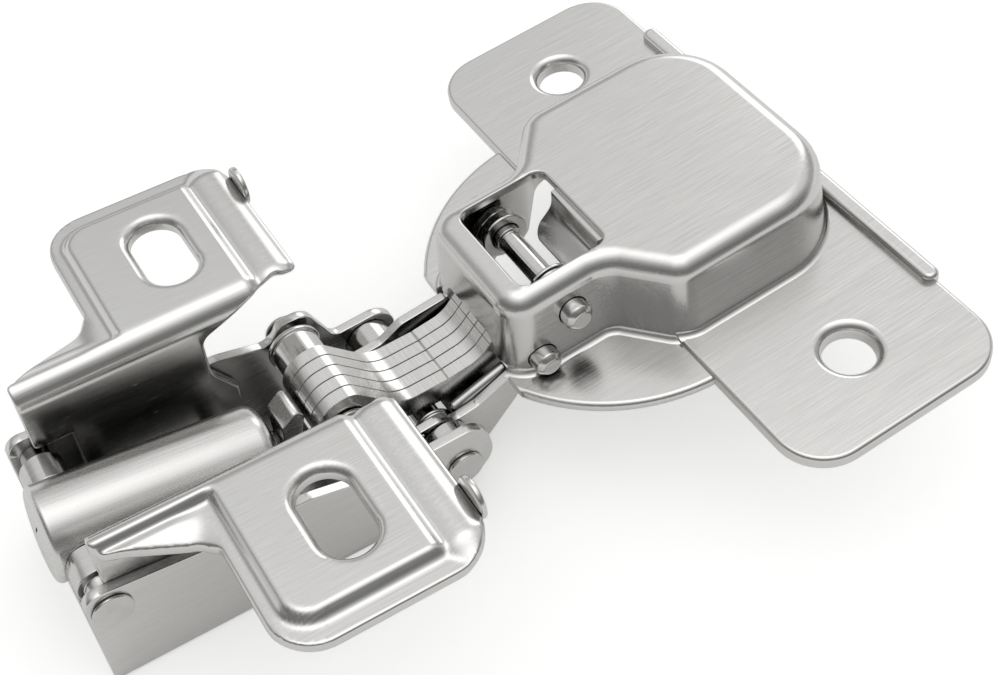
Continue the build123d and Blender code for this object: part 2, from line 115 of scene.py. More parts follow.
# Painted shade in creases and hollows, darker near other metal: its reach in mm, how open a spot is where it is
# darkest and where it stops, and the light that is left at the bottom of a hollow
crease = {"reach": 1.0, "closed": 0.05, "open": 0.42}
deepHollow = {"reach": 9.0, "closed": 0.1, "open": 0.46, "left": 0.05}
lineShade = 0.9   # the marks' dark side, as a share of the tint


def metal(name):
    facts = metals[name]
    material, tree = blankMaterial(name)
    spot = addNode(tree, "ShaderNodeTexCoord")
    tilted = addNode(tree, "ShaderNodeMapping", {"Rotation": (0, math.radians(facts["turn"]), 0)},
                     {"Vector": spot.outputs["Object"]})
    grain = addNode(tree, "ShaderNodeMapping", {"Scale": [1 / (s * mm) for s in facts["lines"]]},
                    {"Vector": tilted.outputs[0]})
    lines = addNode(tree, "ShaderNodeTexNoise", {"Scale": 1.0, "Detail": 2.0, "Roughness": 0.6},
                    {"Vector": grain.outputs[0]})
    cloud = addNode(tree, "ShaderNodeTexNoise", {"Scale": 1 / (facts["cloud"] * mm), "Detail": 3.0},
                    {"Vector": spot.outputs["Object"]})
    fine = addNode(tree, "ShaderNodeMapRange", {"From Min": 0.3, "From Max": 0.7}, {0: lines.outputs[0]})
    half = facts["uneven"] / 2
    broad = addNode(tree, "ShaderNodeMapRange",
                    {"From Min": 0.3, "From Max": 0.7, "To Min": -half, "To Max": half}, {0: cloud.outputs[0]})
    both = addNode(tree, "ShaderNodeMath", {"operation": "ADD"}, {0: fine.outputs[0], 1: broad.outputs[0]})
    spread = facts["roughSpread"]
    rough = addNode(tree, "ShaderNodeMath",
                    {"operation": "MULTIPLY_ADD", 1: spread, 2: facts["rough"] - spread / 2},
                    {0: both.outputs[0]})
    # painted shade: ambient occlusion darkens the colour in creases, and over a wider reach in deep hollows
    corner = addNode(tree, "ShaderNodeAmbientOcclusion", {"samples": 6, "Distance": crease["reach"] * mm})
    dark = addNode(tree, "ShaderNodeMapRange",
                   {"From Min": crease["closed"], "From Max": crease["open"], "To Min": 1 - facts["paintedShade"]},
                   {0: corner.outputs["AO"]})
    h = deepHollow
    hollow = addNode(tree, "ShaderNodeAmbientOcclusion", {"samples": 6, "Distance": h["reach"] * mm})
    deep = addNode(tree, "ShaderNodeMapRange",
                   {"From Min": h["closed"], "From Max": h["open"], "To Min": h["left"]},
                   {0: hollow.outputs["AO"]})
    shadow = addNode(tree, "ShaderNodeMath", {"operation": "MULTIPLY"},
                     {0: dark.outputs[0], 1: deep.outputs[0]})
    tint = colour(facts["tint"])
    darker = [c * lineShade for c in tint[:3]] + [1.0]
    shade = addNode(tree, "ShaderNodeMix", {"data_type": "RGBA", 6: darker, 7: tint}, {0: fine.outputs[0]})
    coloured = addNode(tree, "ShaderNodeVectorMath", {"operation": "SCALE"},
                       {0: shade.outputs[2], 3: shadow.outputs[0]})
    bump = addNode(tree, "ShaderNodeBump", {"Strength": 1.0, "Distance": facts["depth"] * mm},
                   {"Height": lines.outputs[0]})
    shader = addNode(tree, "ShaderNodeBsdfPrincipled", {"Metallic": 1.0},
                     {"Base Color": coloured.outputs[0], "Roughness": rough.outputs[0],
                      "Normal": bump.outputs[0]})
    addNode(tree, "ShaderNodeOutputMaterial", {}, {"Surface": shader.outputs[0]})
    return material


finishes = {name: metal(name) for name in metals}
print("metals ready")

# The solids that stay: their edges are eased, in mm, as tumbling leaves them
finishOfSlot = {"nickel_sheet": "satinNickelSheet", "profile_steel": "shearedProfile", "pin_steel": "turnedPin",
                "spring_steel": "springWire", "damper_tube": "drawnTube"}
easeOfSlot = {"nickel_sheet": 0.14, "profile_steel": 0.025, "pin_steel": 0.1, "spring_steel": 0.1,
              "damper_tube": 0.16}
slotOf = {s["node"]: s["material_slot"] for s in frame["record"]["subparts"]}


def shadeSmooth(piece, finish):
    for polygon in piece.data.polygons:
        polygon.use_smooth = True
    piece.data.materials.clear()
    piece.data.materials.append(finishes[finish])


def softRim(piece, width, angle):
    rim = piece.modifiers.new("rim", "BEVEL")
    rim.width = width * mm
    rim.segments = 2
    rim.limit_method = "ANGLE"
    rim.angle_limit = math.radians(angle)
    rim.use_clamp_overlap = True


def weightNormals(piece):
    normals = piece.modifiers.new("normals", "WEIGHTED_NORMAL")
    normals.keep_sharp = True
    return normals


for name, piece in nodes.items():
    shadeSmooth(piece, finishOfSlot[slotOf[name]])
    # loose triangles are joined and flat faces made whole, so that only true edges are rounded
    weld = piece.modifiers.new("weld", "WELD")
    weld.merge_threshold = 0.002 * mm
    flat = piece.modifiers.new("flat", "DECIMATE")
    flat.decimate_type = "DISSOLVE"
    flat.angle_limit = math.radians(1.5)
    softRim(piece, easeOfSlot[slotOf[name]], 32)
    weightNormals(piece).weight = 80
print("solids dressed")


# Shared ways of making sheet metal, in mm

along = spun(-90, "X")   # turns a part's z axis to the hinge's y


def smooth(t):
    t = min(1.0, max(0.0, t))
    return t * t * (3 - 2 * t)


def allOf(shape):
    return shape.verts[:] + shape.edges[:] + shape.faces[:]


def vertsIn(geom):
    return [v for v in geom if isinstance(v, bmesh.types.BMVert)]


def roundEdges(shape, edges, offset, segments=2):
    bmesh.ops.bevel(shape, geom=edges, affect="EDGES", offset=offset, offset_type="OFFSET", segments=segments,
                    profile=0.5, material=-1, clamp_overlap=False)


def outward(shape):
    bmesh.ops.recalc_face_normals(shape, faces=shape.faces)
    return shape


def placed(shape, matrix):
    bmesh.ops.transform(shape, verts=shape.verts, matrix=matrix)
    return shape


def block(shape, middle, size):
    # a box of that size, its middle placed by a matrix
    return bmesh.ops.create_cube(shape, size=1, matrix=middle @ Matrix.Diagonal((*size, 1)))


def rod(shape, radius, length, segments, middle):
    return bmesh.ops.create_cone(shape, cap_ends=True, segments=segments, radius1=radius, radius2=radius,
                                 depth=length, matrix=middle)


def roundedFace(shape, corners, segments=8):
    # a flat face through (x, y, radius) corners, each rounded by a vertex bevel
    verts = [shape.verts.new((x, y, 0)) for x, y, r in corners]
    shape.faces.new(verts)
    for i, (x, y, r) in enumerate(corners):
        if r <= 0:
            continue
        nextX, nextY, nextR = corners[(i + 1) % len(corners)]
        before = Vector((x - corners[i - 1][0], y - corners[i - 1][1]))
        turn = before.angle(Vector((nextX - x, nextY - y)))
        steps = max(2, round(segments * turn / math.pi * 2))
        bmesh.ops.bevel(shape, geom=[verts[i]], affect="VERTICES", offset=r * math.tan(turn / 2),
                        offset_type="OFFSET", segments=steps, profile=0.5, material=-1, clamp_overlap=False)
    shape.normal_update()


def stackedForm(corners, profile, segments=8):
    # a drawn form: its foot is the corners' outline, and each (inset, height) of the profile is one more ring
    shape = bmesh.new()
    roundedFace(shape, corners, segments)
    top = max(shape.faces, key=lambda f: f.calc_area())
    if top.normal.z < 0:
        top.normal_flip()
    bmesh.ops.translate(shape, verts=shape.verts, vec=(0, 0, profile[0][1]))
    foot = bmesh.ops.duplicate(shape, geom=[top])
    for face in [g for g in foot["geom"] if isinstance(g, bmesh.types.BMFace)]:
        face.normal_flip()
    for (inset, height), (nextInset, nextHeight) in zip(profile, profile[1:]):
        bmesh.ops.inset_region(shape, faces=[top], thickness=nextInset - inset, depth=nextHeight - height,
                               use_even_offset=True, use_boundary=True)
    bmesh.ops.remove_doubles(shape, verts=shape.verts, dist=0.002)
    return outward(shape)


def shoulder(inset, height, radius, angles=(22, 45, 68, 90)):
    # (inset, height) points where a side turns in to a flat top
    return [(inset + radius - radius * cosine(a), height + radius * sine(a)) for a in angles]


def turned(profile, segments=64):
    # a closed body of revolution about z through (radius, height) points
    shape = bmesh.new()
    line = [shape.verts.new((r, 0, h)) for r, h in profile]
    edges = [shape.edges.new(pair) for pair in zip(line, line[1:])]
    bmesh.ops.spin(shape, geom=line + edges, cent=(0, 0, 0), axis=(0, 0, 1), angle=2 * math.pi, steps=segments,
                   use_merge=True)
    bmesh.ops.remove_doubles(shape, verts=shape.verts, dist=0.001)
    return outward(shape)


def roundedRim(radius, height, r, up):
    # (radius, height) points of a rounded rim that turns inwards at that height
    points = [(radius - r + r * cosine(a), height - up * r * (1 - sine(a))) for a in range(0, 91, 15)]
    return points if up > 0 else points[::-1]


def platePart(corners, low, thick, soft, segments=12):
    # a flat blank in the xz plane, its rims rounded, standing from y = low
    shape = bmesh.new()
    roundedFace(shape, corners, segments)
    raised = bmesh.ops.extrude_face_region(shape, geom=shape.faces[:], use_keep_orig=True)
    bmesh.ops.translate(shape, verts=vertsIn(raised["geom"]), vec=(0, 0, thick))
    outward(shape)
    rims = []
    for edge in shape.edges:
        tilts = [abs(f.normal.z) for f in edge.link_faces]
        if len(tilts) == 2 and min(tilts) < 0.1 < max(tilts):
            rims.append(edge)
    roundEdges(shape, rims, soft, 1 if soft < 0.06 else 2)
    flatToSide = Matrix(((1, 0, 0, 0), (0, 0, 1, low), (0, 1, 0, 0), (0, 0, 0, 1)))
    return outward(placed(shape, flatToSide))


def toObject(name, shape):
    mesh = bpy.data.meshes.new(name)
    shape.to_mesh(mesh)
    shape.free()
    made = bpy.data.objects.new(name, mesh)
    bpy.context.scene.collection.objects.link(made)
    return made


def pinHoles(places, segments, length=30, y=0):
    # one cutting rod across the hinge for each (x, z, radius)
    rods = []
    for x, z, r in places:
        shape = bmesh.new()
        rod(shape, r, length, segments, moved(x, y, z) @ along)
        rods.append(toObject("bore", shape))
    return rods


def combine(base, tools, operation):
    # exact boolean of several closed tools on a base, applied at once
    for tool in tools:
        cut = base.modifiers.new("cut", "BOOLEAN")
        cut.operation = operation
        cut.solver = "EXACT"
        cut.object = tool
        done = bpy.data.meshes.new_from_object(base.evaluated_get(bpy.context.evaluated_depsgraph_get()))
        base.modifiers.clear()
        base.data = done
        bpy.data.objects.remove(tool)
    return base


def finishPiece(piece, matrix, finish, body, replaced, sharp=None, soft=0, angle=48, weighted=True):
    # mm to metres, place, material, rim rounding, and the body and solids that it stands for
    if sharp:
        piece.data.set_sharp_from_angle(angle=math.radians(sharp))
    piece.data.transform(matrix @ Matrix.Scale(mm, 4))
    if matrix.determinant() < 0:
        piece.data.flip_normals()
    shadeSmooth(piece, finish)
    if soft:
        softRim(piece, soft, angle)
    if weighted:
        weightNormals(piece)
    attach(piece, body)
    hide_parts(*replaced)


# Wing plate: one stamping, cut flat, embossed and folded. x runs along the hinge, and s across the flat
# sheet. A "Blend" or "Wide" is the length over which a change of height comes in.
wing = {
    "thick": 1.1, "wallIn": 7.5, "fold": 2.2, "rimRound": 0.26, "mesh": 0.27,
    "rear": -17.2, "back": -8.7, "front": 9.3, "tip": 26.0, "corner": 4.0, "floor": -16.6,
    "border": 0.9, "borderStep": 1.05, "padBack": -6.75, "padTip": 23.4, "padCorner": 1.9,
    "crease": 5.7, "creaseDepth": 0.5, "creaseWide": 1.15,
    "beadCrest": 7.45, "beadRadius": 3.2, "beadTurn": 8.5, "beadTurnSteep": 0.55,
    "beadEndDrop": 0.72, "beadEndWide": 2.1,
    "slotY": 16.7, "slotHalfLong": 4.2, "slotHalfWide": 2.35, "dish": 0.45, "dishWide": 0.75, "dishSteep": 1.4,
    "tongueSlope": 0.44, "tongueStart": 8.2, "tongueEnd": 13.4, "tongueEase": 2.2,
    "tongueFront": -7.9, "tongueBlend": 3.2,
    "flatter": 0.8, "flatterBehind": -8.2, "flatterBlend": 3.0, "flatterPast": 9.2, "flatterWide": 1.6,
    "foldFade": 9.15, "foldFadeWide": 0.9, "reliefPast": 6.2, "reliefWide": 1.2,
    # the lug on the front edge that stops the plate against the frame, and the web that ties the two walls
    "lug": {"y": 21.0, "x": 0.2, "z": -0.55, "radius": 1.85, "thick": 0.55, "round": 0.14},
    "web": {"middle": (-7.0, 0, -16.1), "size": (9.0, 16.6, 0.98), "round": 0.15},
}


def foldLength(z):
    # distance along the sheet, measured like y, for a point on the fold or wall at that height
    w = wing
    if z > -w["fold"]:
        return w["wallIn"] + w["fold"] - w["fold"] * math.acos(1 + z / w["fold"])
    return w["wallIn"] + w["fold"] - w["fold"] * math.pi / 2 + z + w["fold"]


def embossHeight(x, s):
    # height of the stamped relief above the pad's plane
    w = wing
    back, out = w["padBack"] + w["padCorner"] - x, s - w["padTip"] + w["padCorner"]
    beyond = math.hypot(max(0, back), max(0, out)) + min(0, max(back, out)) - w["padCorner"]
    pad = 1 - smooth(beyond / w["borderStep"])
    valley = w["creaseDepth"] * smooth((x - w["crease"] + w["creaseWide"]) / w["creaseWide"])
    relief = -w["border"] + pad * (w["border"] - valley)
    if x > w["crease"] - 0.6:
        bead = -(x - w["beadCrest"]) ** 2 / (2 * w["beadRadius"])
        bead -= w["beadTurnSteep"] * max(0, x - w["beadTurn"]) ** 2
        bead -= w["border"] * w["beadEndDrop"] * smooth((s - w["padTip"] - 0.1) / w["beadEndWide"])
        relief = max(relief, bead)
    if x < w["padBack"] + 0.1:
        relief *= smooth((s - w["foldFade"]) / w["foldFadeWide"])   # the border's step runs out over the fold
    slotEnd = max(0, abs(s - w["slotY"]) - (w["slotHalfLong"] - w["slotHalfWide"]))
    toSlot = math.hypot(x, slotEnd) - w["slotHalfWide"]
    relief -= w["dish"] * (1 - smooth(toSlot / w["dishWide"])) ** w["dishSteep"]
    # behind the pad the sheet slopes down to the tongue, which is flatter than the border
    past, ease = max(0, min(s, w["tongueEnd"]) - w["tongueStart"]), w["tongueEase"]
    slope = w["tongueSlope"] * (past * past / (2 * ease) if past < ease else past - ease / 2)
    slope *= smooth((w["tongueFront"] - x) / w["tongueBlend"])
    onTongue = smooth((w["flatterBehind"] - x) / w["flatterBlend"])
    onTongue *= smooth((s - w["flatterPast"]) / w["flatterWide"])
    return relief * (1 - w["flatter"] * onTongue) - slope


def bentPoint(x, s, depth):
    # from the flat blank to the folded sheet
    w = wing
    start = w["wallIn"] + w["fold"]
    turn = min(math.pi / 2, max(0, (start - s) / w["fold"]))
    reach = w["fold"] + depth + embossHeight(x, s) * smooth((s - w["reliefPast"]) / w["reliefWide"])
    y, z = start - reach * math.sin(turn), -w["fold"] + reach * math.cos(turn)
    if turn >= math.pi / 2:
        z = -w["fold"] - (start - w["fold"] * math.pi / 2 - s)
    if s > start:
        y = s
    return Vector((x, y, z))


def wingBlank():
    # the flat blank with its slot, one side of the plate
    w = wing
    down = foldLength
    outline = [
        (w["front"], w["tip"], w["corner"]), (w["back"], w["tip"], w["corner"]), (w["back"], 14.2, 0.9),
        (-9.9, 12.7, 1.6), (-16.5, 10.1, 1.0), (w["rear"], 9.0, 0.5), (w["rear"], down(-7.0), 0.5),
        (-13.8, down(-7.0), 0), (-13.8, down(w["floor"]), 0), (1.3, down(w["floor"]), 0),
        (1.3, down(-10.6), 0.6), (-0.75, down(-7.5), 2.4), (-0.75, down(-3.2), 1.2),
        (4.6, 7.55, 1.5), (7.2, 8.75, 0.6), (8.0, 8.25, 0.4), (w["front"], 8.25, 0.7)]
    shape = bmesh.new()
    roundedFace(shape, outline, 12)
    wide, low, high = w["slotHalfWide"], w["slotY"] - w["slotHalfLong"], w["slotY"] + w["slotHalfLong"]
    slot = [(wide, high), (-wide, high), (-wide, low), (wide, low)]
    roundedFace(shape, [(x, y, wide * 0.999) for x, y in slot], 14)
    bmesh.ops.remove_doubles(shape, verts=shape.verts, dist=0.01)
    bmesh.ops.delete(shape, geom=shape.faces[:], context="FACES_ONLY")
    bmesh.ops.triangle_fill(shape, use_beauty=True, use_dissolve=False, edges=shape.edges[:])
    bmesh.ops.dissolve_limit(shape, angle_limit=0.01, verts=[], edges=shape.edges[:])
    outward(shape)
    if shape.faces[0].normal.z < 0:
        bmesh.ops.reverse_faces(shape, faces=shape.faces)
    return shape


def wingPlate():
    w = wing
    shape = wingBlank()
    under = bmesh.ops.extrude_face_region(shape, geom=shape.faces[:], use_keep_orig=True)
    bmesh.ops.translate(shape, verts=vertsIn(under["geom"]), vec=(0, 0, -w["thick"]))
    outward(shape)
    rims = [e for e in shape.edges if len(e.link_faces) == 2 and abs(e.verts[0].co.z - e.verts[1].co.z) < 1e-6
            and e.link_faces[0].normal.angle(e.link_faces[1].normal) > 1]
    roundEdges(shape, rims, w["rimRound"], 3)
    # a net of cuts, closer over the fold, that the relief and the bend can follow
    step = w["mesh"]
    nets = ((Vector((1, 0, 0)), w["rear"], w["front"]), (Vector((0, 1, 0)), foldLength(-2.4), w["tip"]))
    for way, low, high in nets:
        at = low + step / 2
        while at < high:
            bmesh.ops.bisect_plane(shape, geom=allOf(shape), dist=1e-4, plane_co=way * at, plane_no=way)
            at += step if way.x or at > w["wallIn"] + w["fold"] + 0.2 else step * 0.7
    for v in shape.verts:
        v.co = bentPoint(v.co.x, v.co.y, v.co.z)
    lug = w["lug"]
    tab = rod(shape, lug["radius"], lug["thick"], 28,
              moved(w["front"] + lug["x"], lug["y"], lug["z"]) @ spun(90, "Y"))
    rims = {e for v in tab["verts"] for e in v.link_edges if e.calc_face_angle(0) > 1}
    roundEdges(shape, list(rims), lug["round"])
    other = bmesh.ops.duplicate(shape, geom=allOf(shape))["geom"]
    bmesh.ops.scale(shape, vec=(1, -1, 1), verts=vertsIn(other))
    outward(shape)
    web = block(shape, moved(*w["web"]["middle"]), w["web"]["size"])
    roundEdges(shape, list({e for v in web["verts"] for e in v.link_edges}), w["web"]["round"])
    finishPiece(toObject("wing_stamping", shape), Matrix.Identity(4), "satinNickelSheet", "base",
                ["wing_plate"], weighted=False)


wingPlate()
print("wing plate stamped")


# Cup: pot drawn from the plate, round flange, screw plate, hem and flap
cup = {
    "place": moved(0.04603, 0, -0.00508) @ spun(-7, "Y"),
    # half of the pot's plan at its foot, from the nose backwards
    "outline": [(-24.8, -7.9, 3.3), (-14.6, -7.9, 2.2), (-10.2, -13.3, 3.3), (9.4, -13.3, 8.0)],
    "draft": math.tan(math.radians(5)), "foot": -1.6, "top": 8.2, "crown": 2.0, "wall": 0.85, "innerCrown": 1.0,
    "flare": 0.85, "plateFlare": 0.75,   # radius where the wall grows out of the flange, and out of the plate
    "sunk": 0.02,                        # forms start this far inside one another
    "plate": (21.6, 61.8, 4.6), "plateThick": 1.2, "plateRound": 0.42,
    "discX": -9.2, "discR": 17.9, "discTop": -0.45, "discThick": 1.15, "discRound": 0.5, "front": -24.8,
    "hem": [(9.5, -21.5, 0.8), (11.2, -21.5, 0.8), (11.2, 21.5, 0.8), (9.5, 21.5, 0.8)],
    "hemLow": -0.4, "hemSide": 0.4, "hemRound": 0.5,
    "window": (-21.4, -12.5, 5.4, 1.1), "windowLip": 0.28, "windowFloor": 4.2,
    # the nose's open end as (y, z, radius), higher over the arm than over the link
    "mouth": [(-6.3, -6, 0), (6.3, -6, 0), (6.3, 0.2, 1.0), (4.3, 0.2, 0.5), (3.75, 2.2, 1.0),
              (-3.75, 2.2, 1.0), (-4.3, 0.2, 0.5), (-6.3, 0.2, 1.0)],
    "mouthFrom": -26.8, "mouthLong": 5,
    "holePitch": 45.0, "holeR": 2.35, "holeRim": 0.95, "neck": ((0.75, -1.75), (0.95, -0.85)),
    "bores": ((-17.9, 4.4, 1.45), (-21.6, 1.0, 1.4)),
    # the flap lanced from the window: its plan, and how it leans down from the window's edge
    "flap": [(-4.7, 0, 0), (2.9, 0, 0), (2.9, 5.5, 1.6), (-4.7, 5.5, 0.5)],
    "flapSection": [(0, 0), (0.0001, 0.6), (0.06, 0.74), (0.2, 0.8)],
    "flapRoot": (-12.3, 7.55), "flapLean": (5, 45), "flapBend": (0.6, 2.6), "flapCuts": 0.35,
}


def mirrored(half):
    # the other side of an outline given for negative y
    return half + [(x, -y, r) for x, y, r in reversed(half)]


def grown(corners, by):
    # the outline moved outwards, its corner radii following
    made = []
    for i, (x, y, r) in enumerate(corners):
        px, py, pr = corners[i - 1]
        qx, qy, qr = corners[(i + 1) % len(corners)]
        before, after = Vector((x - px, y - py)).normalized(), Vector((qx - x, qy - y)).normalized()
        n1, n2 = Vector((before.y, -before.x)), Vector((after.y, -after.x))
        move = (n1 + n2) / (1 + n1.dot(n2)) * by
        convex = before.cross(after) > 0
        made.append((x + move.x, y + move.y, r + by if convex else r - by))
    return made


def flaredWall(level, radius):
    # how far the pot's side spreads where it grows out of a flat, and its (inset, height) points
    spread = radius - cup["draft"] * (level + radius - cup["foot"])
    return spread, [(radius * sine(a), level + radius - radius * cosine(a)) for a in (0, 17, 34, 51, 68, 84)]


def trimmed(shape, x):
    # what lies behind that x cut away, and the cut closed
    cut = bmesh.ops.bisect_plane(shape, geom=allOf(shape), plane_co=(x, 0, 0), plane_no=(-1, 0, 0),
                                 clear_outer=True)
    bmesh.ops.holes_fill(shape, edges=[e for e in cut["geom_cut"] if isinstance(e, bmesh.types.BMEdge)])
    return shape


def screwPlate():
    c = cup
    wide, long, corner = c["plate"]
    corners = mirrored([(-wide / 2, -long / 2, corner), (wide / 2, -long / 2, corner)])
    rim = [(0, -c["plateThick"]), (0.0001, -c["plateRound"])] + shoulder(0, -c["plateRound"], c["plateRound"])
    plate = toObject("cup_stamping", stackedForm(corners, rim, 14))
    # each hole is dished from above and has a neck below
    r, rim = c["holeR"], c["holeRim"]
    dish = [(0, 0.4), (r + rim + 0.6, 0.4), (r + rim + 0.6, 0.11)]
    dish += [(r + rim - rim * sine(a), -rim * (1 - cosine(a))) for a in (15, 30, 45, 60, 75, 90)]
    dish += [(r, -3), (0, -3)]
    (lowR, low), (highR, high) = c["neck"]
    for way in (-1, 1):
        y = way * c["holePitch"] / 2 + 0.003 * way
        neck = turned([(0, low), (r + lowR, low), (r + highR, high), (0, high)])
        hole = turned(dish, 60)
        for shape in (neck, hole):
            # turned off the plate's own edges, which keeps the cuts clean
            placed(shape, moved(0, y, 0) @ Matrix.Rotation(0.5 + 0.27 * way, 4, "Z"))
        plate = combine(plate, [toObject("neck", neck)], "UNION")
        plate = combine(plate, [toObject("hole", hole)], "DIFFERENCE")
    return plate


def potForms():
    # round flange, pot, the flare where it meets the plate, and the hem on the plate's edge
    c = cup
    side = mirrored(c["outline"])
    disc = bmesh.new()
    rod(disc, c["discR"], c["discThick"], 144, moved(c["discX"], 0, c["discTop"] - c["discThick"] / 2))
    roundEdges(disc, [e for e in disc.edges if e.calc_face_angle(0) > 1], c["discRound"], 4)
    disc = toObject("disc", trimmed(disc, c["front"]))
    spread, foot = flaredWall(c["discTop"] - c["sunk"], c["flare"])
    inset = spread + c["draft"] * (c["top"] - c["crown"] - c["foot"])
    crown = shoulder(inset, c["top"] - c["crown"], c["crown"], (4, 16, 28, 40, 52, 64, 76, 90))
    pot = toObject("pot", stackedForm(grown(side, spread), foot + crown, 12))
    spread, foot = flaredWall(-c["sunk"], c["plateFlare"])
    ring = stackedForm(grown(side, spread), foot + [(foot[-1][0] + c["draft"] * 1.5, 2.2)], 12)
    ring = toObject("ring", outward(trimmed(ring, c["sunk"] - c["plate"][0] / 2)))
    rim = [(0, c["hemLow"]), (0.0001, c["hemSide"])] + shoulder(0, c["hemSide"], c["hemRound"])
    return [disc, pot, ring, toObject("hem", stackedForm(c["hem"], rim, 8))]


def potCuts():
    # the hollow, the window, the open nose and the pins' bores
    c = cup
    crown = c["innerCrown"]
    reach = c["top"] - c["wall"] - crown
    inset = c["draft"] * (reach - c["foot"])
    inside = [(0, -1.7), (inset, reach)] + shoulder(inset, reach, crown, (20, 40, 60, 80))
    hollow = stackedForm(grown(mirrored(c["outline"]), -c["wall"]), inside, 10)
    x0, x1, half, corner = c["window"]
    lip = c["windowLip"]
    opening = [(0, c["top"] + 0.3), (0.0001, c["top"] + 0.015)]
    opening += [(lip * sine(a), c["top"] - lip + lip * cosine(a)) for a in (22, 45, 68, 90)]
    opening += [(lip + 0.001, c["windowFloor"])]
    window = stackedForm(grown(mirrored([(x0, -half, corner), (x1, -half, corner)]), lip), opening, 8)
    mouth = stackedForm(c["mouth"], [(0, 0), (0.0001, c["mouthLong"])], 8)
    placed(mouth, Matrix(((0, 0, 1, c["mouthFrom"]), (1, 0, 0, 0), (0, 1, 0, 0), (0, 0, 0, 1))))
    cuts = [toObject("hollow", hollow), toObject("window", window), toObject("mouth", mouth)]
    return cuts + pinHoles(c["bores"], 40)


def windowFlap():
    # a strip that hangs from the window's edge towards the rear pin, bent in short steps
    c = cup
    flap = stackedForm(c["flap"], c["flapSection"], 8)
    for i in range(1, 16):
        bmesh.ops.bisect_plane(flap, geom=allOf(flap), dist=1e-4, plane_co=(0, c["flapCuts"] * i, 0),
                               plane_no=(0, 1, 0))
    step = 0.2
    first, more = c["flapLean"]
    start, over = c["flapBend"]
    for v in flap.verts:
        x, z = c["flapRoot"]
        for i in range(27):
            lean = math.radians(first + more * smooth((step * i - start) / over))
            go = min(step, max(0, v.co.y - step * i))
            x, z = x - go * math.sin(lean), z - go * math.cos(lean)
            if go < step:
                break
        v.co = Vector((x - v.co.z * math.cos(lean), v.co.x, z + v.co.z * math.sin(lean)))
    return toObject("flap", outward(flap))


def cupStamping():
    piece = combine(screwPlate(), potForms(), "UNION")
    piece = combine(piece, potCuts(), "DIFFERENCE")
    piece = combine(piece, [windowFlap()], "UNION")
    finishPiece(piece, cup["place"], "satinNickelCup", "cup", ["cup"],
                sharp=44, soft=0.06, angle=55)


cupStamping()
print("cup drawn")


# Small turned and wound parts. The damper is drawn along z from its rear pin, the others in the cup's frame.
damper = {
    "place": moved(-0.01735, 0, -0.0086) @ spun(7.6, "Y") @ spun(90, "Y"),
    "rear": -2.55, "front": 17.95, "radius": 4.3, "rearRound": 0.55, "frontRound": 1.35,
    "gland": (2.4, 2.2, 0.25), "glandBore": 1.37, "glandDeep": 2.5,
    "slit": (1.5, 0.28, 0.4), "slitAt": (0.2, 0.9), "slitTurn": 28.65,
}
coil = {"pivot": (-32.0, -4.6), "inner": 3.55, "outer": 4.86, "turns": 2.9, "wire": 0.21, "radius": 1.74,
        "ring": 12, "step": 12}   # sides of the wire, and degrees from one ring to the next
leg = {"back": (-30.1, 4.33, -3.4), "front": (-24.0, 4.33, -1.9), "radius": 0.58,
       "backRound": 0.45, "frontRound": 0.2}
collar = {
    "pivot": (-39.1, 1.2), "bore": 1.27,
    # (distance from the middle, radius); the near one is slimmer, so the pin's collar shows in the eye
    "near": [(3.52, 2.0), (3.9, 2.0), (3.95, 1.62), (7.0, 1.62)],
    "far": [(3.52, 2.5), (4.0, 2.5), (4.05, 2.3), (6.9, 2.3), (6.95, 2.55), (7.35, 2.55)],
}


def handOf(side):
    return "left" if side > 0 else "right"


def damperShell():
    d = damper
    mouth, throat, chamfer = d["gland"]
    profile = [(0, d["rear"])] + roundedRim(d["radius"], d["rear"], d["rearRound"], -1)
    profile += roundedRim(d["radius"], d["front"], d["frontRound"], 1)
    profile += [(mouth, d["front"]), (throat, d["front"] - chamfer), (d["glandBore"], d["front"] - chamfer),
                (d["glandBore"], d["front"] - d["glandDeep"]), (0, d["front"] - d["glandDeep"])]
    slit = bmesh.new()
    block(slit, moved(*d["slitAt"], d["rear"]) @ spun(d["slitTurn"], "Z"), d["slit"])
    piece = combine(toObject("damper_shell", turned(profile, 96)), [toObject("slit", slit)], "DIFFERENCE")
    finishPiece(piece, d["place"], "drawnTube", "base",
                ["damper_barrel", "damper_rear_cap", "damper_gland"], sharp=40)


def woundSpring(side):
    # a few close turns of fine wire, its ends tucked against the pivot
    c = coil
    shape = bmesh.new()
    bmesh.ops.create_circle(shape, segments=c["ring"], radius=c["wire"],
                            matrix=moved(c["radius"], 0, c["inner"] + c["wire"]) @ spun(90, "X"))
    rise = c["outer"] - c["inner"] - 2 * c["wire"]
    steps = round(c["turns"] * 360 / c["step"])
    bmesh.ops.spin(shape, geom=shape.verts[:] + shape.edges[:], cent=(0, 0, 0), axis=(0, 0, 1),
                   dvec=(0, 0, rise / steps), angle=2 * math.pi * c["turns"], steps=steps)
    bmesh.ops.holes_fill(shape, edges=[e for e in shape.edges if e.is_boundary])
    piece = toObject("link_coil_" + handOf(side), outward(shape))
    place = cup["place"] @ moved(c["pivot"][0] * mm, 0, c["pivot"][1] * mm) @ along
    finishPiece(piece, Matrix.Diagonal((1, side, 1, 1)) @ place, "springWire", "base",
                ["link_spring_" + handOf(side)])


